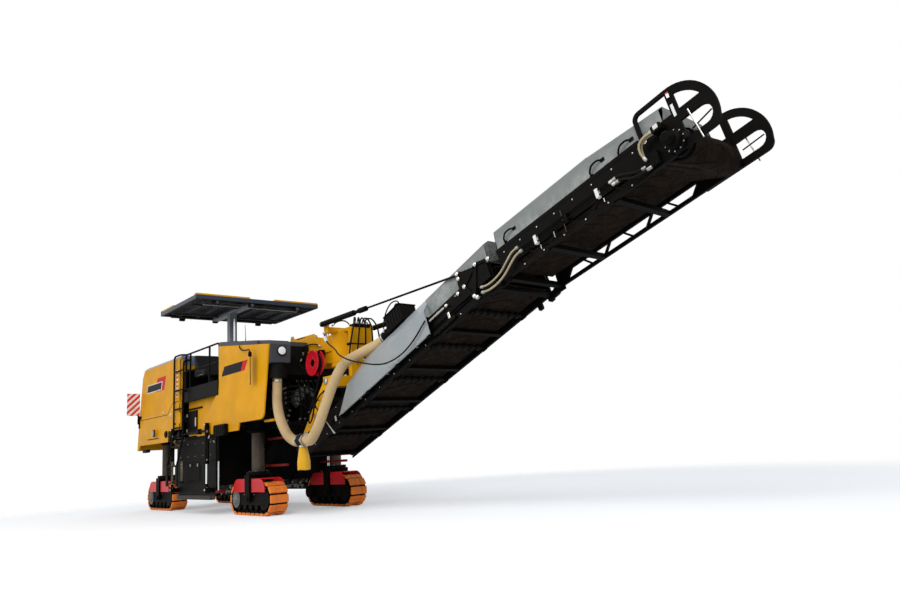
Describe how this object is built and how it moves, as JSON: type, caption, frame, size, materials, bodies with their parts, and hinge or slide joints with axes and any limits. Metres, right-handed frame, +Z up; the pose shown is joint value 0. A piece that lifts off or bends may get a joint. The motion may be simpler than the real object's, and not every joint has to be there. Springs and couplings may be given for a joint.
{
  "type": "cold planer milling machine",
  "caption": "Large tracked road milling machine: drum housing with side plates between track columns, operator's platform under a canopy, folding discharge conveyor in front.",
  "frame": {"origin": "middle of the bounding box's bottom, on the ground under the machine", "axes": "+X forwards to the discharge conveyor's head, +Y to the machine's left, +Z up"},
  "size_m": [15.1046, 3.0486, 4.301],
  "materials": {
    "belt_rubber": "worn black rubber",
    "bright_steel": "bright rod",
    "canopy_dark": "dark moulded roof",
    "chassis_black": "satin black paint",
    "console_grey": "satin dark grey paint",
    "conveyor_black": "satin black paint",
    "cover_grey": "satin light grey paint",
    "engine_grey": "matt grey paint",
    "guard_red": "gloss red paint",
    "hose_tan": "ribbed tan hose",
    "mast_grey": "satin grey paint",
    "pads": "orange moulded polyurethane",
    "reel_red": "gloss red paint",
    "seat_black": "matt black cover",
    "tank_black": "satin black paint",
    "track_black": "black castings and forgings",
    "warning_white": "white and red reflecting stripes",
    "worn_steel": "ground and rusty steel",
    "yellow": "gloss yellow paint"
  },
  "bodies": {
    "root": {"belly": "yellow", "canopy": "canopy_dark", "canopy_mast": "mast_grey", "centre_body": "tank_black", "chassis": "chassis_black", "console": "console_grey", "drum_housing": "chassis_black", "dust_hose_rear": "hose_tan", "engine": "engine_grey", "ladder": "chassis_black", "loading_conveyor": "belt_rubber", "operator_seat": "seat_black", "platform": "chassis_black", "rear_body": "yellow", "reel_bracket": "yellow", "scraper": "worn_steel", "side_panel_left": "yellow", "side_panel_right": "yellow", "side_rams_left": "chassis_black", "side_rams_right": "chassis_black", "slew_tower": "yellow", "warning_plate_left": "warning_white", "warning_plate_right": "warning_white"},
    "conveyor_lower": {"conveyor_lower_belt": "belt_rubber", "conveyor_lower_cover": "cover_grey", "conveyor_lower_frame": "conveyor_black", "dust_hose_front": "hose_tan", "suction_fan": "chassis_black"},
    "conveyor_upper": {"conveyor_upper_belt": "belt_rubber", "conveyor_upper_cover": "cover_grey", "conveyor_upper_frame": "conveyor_black"},
    "engine_hood": {"engine_hood": "yellow"},
    "slew_bracket": {"hose_coupling": "yellow", "slew_bracket": "yellow"},
    "hose_reel": {"hose_reel": "reel_red"},
    "lift_barrel_left": {"lift_barrel_left": "conveyor_black"},
    "lift_barrel_right": {"lift_barrel_right": "conveyor_black"},
    "lift_rod_left": {"lift_rod_left": "bright_steel"},
    "lift_rod_right": {"lift_rod_right": "bright_steel"},
    "milling_drum": {"milling_drum": "worn_steel"},
    "side_plate_left": {"side_plate_left": "chassis_black"},
    "side_plate_right": {"side_plate_right": "chassis_black"},
    "track_fl": {"track_fl_frame": "track_black", "track_fl_guard": "guard_red", "track_fl_pads": "pads"},
    "track_fr": {"track_fr_frame": "track_black", "track_fr_guard": "guard_red", "track_fr_pads": "pads"},
    "track_rl": {"track_rl_frame": "track_black", "track_rl_guard": "guard_red", "track_rl_pads": "pads"},
    "track_rr": {"track_rr_frame": "track_black", "track_rr_guard": "guard_red", "track_rr_pads": "pads"}
  },
  "joints": [
    {"name": "steer_fr", "type": "hinge", "parent": "root", "child": "track_fr", "pos_m": [-1.95226, -0.765, 0.7], "axis": [0, 0, 1], "range_deg": [-15, 15]},
    {"name": "steer_fl", "type": "hinge", "parent": "root", "child": "track_fl", "pos_m": [-1.95226, 0.765, 0.7], "axis": [0, 0, 1], "range_deg": [-15, 15]},
    {"name": "steer_rr", "type": "hinge", "parent": "root", "child": "track_rr", "pos_m": [-6.70226, -0.765, 0.7], "axis": [0, 0, 1], "range_deg": [-15, 15]},
    {"name": "steer_rl", "type": "hinge", "parent": "root", "child": "track_rl", "pos_m": [-6.70226, 0.765, 0.7], "axis": [0, 0, 1], "range_deg": [-15, 15]},
    {"name": "drum_turn", "type": "hinge", "parent": "root", "child": "milling_drum", "pos_m": [-3.85226, 0, 0.8], "axis": [0, 1, 0], "continuous": true},
    {"name": "side_plate_slide_right", "type": "slide", "parent": "root", "child": "side_plate_right", "axis": [0, 0, 1], "range_m": [-0.22, 0.1]},
    {"name": "side_plate_slide_left", "type": "slide", "parent": "root", "child": "side_plate_left", "axis": [0, 0, 1], "range_m": [-0.22, 0.1]},
    {"name": "hood_hinge", "type": "hinge", "parent": "root", "child": "engine_hood", "pos_m": [-7.18226, 0, 2.01], "axis": [0, -1, 0], "range_deg": [0, 45]},
    {"name": "reel_turn", "type": "hinge", "parent": "root", "child": "hose_reel", "pos_m": [-0.40226, -0.38, 2.49], "axis": [0, 1, 0], "continuous": true},
    {"name": "slew", "type": "hinge", "parent": "root", "child": "slew_bracket", "pos_m": [-0.05226, 0, 1.3], "axis": [0, 0, 1], "range_deg": [-50, 50], "deforming": ["dust_hose_rear"]},
    {"name": "lift", "type": "hinge", "parent": "slew_bracket", "child": "conveyor_lower", "pos_m": [-0.50226, 0, 1.3], "axis": [0, -1, 0], "range_deg": [-20, 4], "deforming": ["dust_hose_front"]},
    {"name": "fold", "type": "hinge", "parent": "conveyor_lower", "child": "conveyor_upper", "pos_m": [4.38442, 0, 2.85254], "axis": [0, 1, 0], "range_deg": [0, 75]},
    {"name": "lift_barrel_pivot_right", "type": "hinge", "parent": "slew_bracket", "child": "lift_barrel_right", "pos_m": [-0.03226, -0.5, 3.09], "axis": [0, -1, 0], "range_deg": [-21.5, 4.5]},
    {"name": "lift_rod_slide_right", "type": "slide", "parent": "lift_barrel_right", "child": "lift_rod_right", "axis": [0.9999, 0, 0.0133], "range_m": [-0.13, 0.65]},
    {"name": "lift_barrel_pivot_left", "type": "hinge", "parent": "slew_bracket", "child": "lift_barrel_left", "pos_m": [-0.03226, 0.5, 3.09], "axis": [0, -1, 0], "range_deg": [-21.5, 4.5]},
    {"name": "lift_rod_slide_left", "type": "slide", "parent": "lift_barrel_left", "child": "lift_rod_left", "axis": [0.9999, 0, 0.0133], "range_m": [-0.13, 0.65]}
  ],
  "couplings": [
    {"joint": "steer_fl", "follows": "steer_fr", "ratio": 1},
    {"joint": "steer_rl", "follows": "steer_rr", "ratio": 1},
    {"joint": "lift_barrel_pivot_right", "follows": "lift", "ratio": 1.055},
    {"joint": "lift_rod_slide_right", "follows": "lift", "m_per_rad": -1.825},
    {"joint": "lift_barrel_pivot_left", "follows": "lift", "ratio": 1.055},
    {"joint": "lift_rod_slide_left", "follows": "lift", "m_per_rad": -1.825}
  ]
}
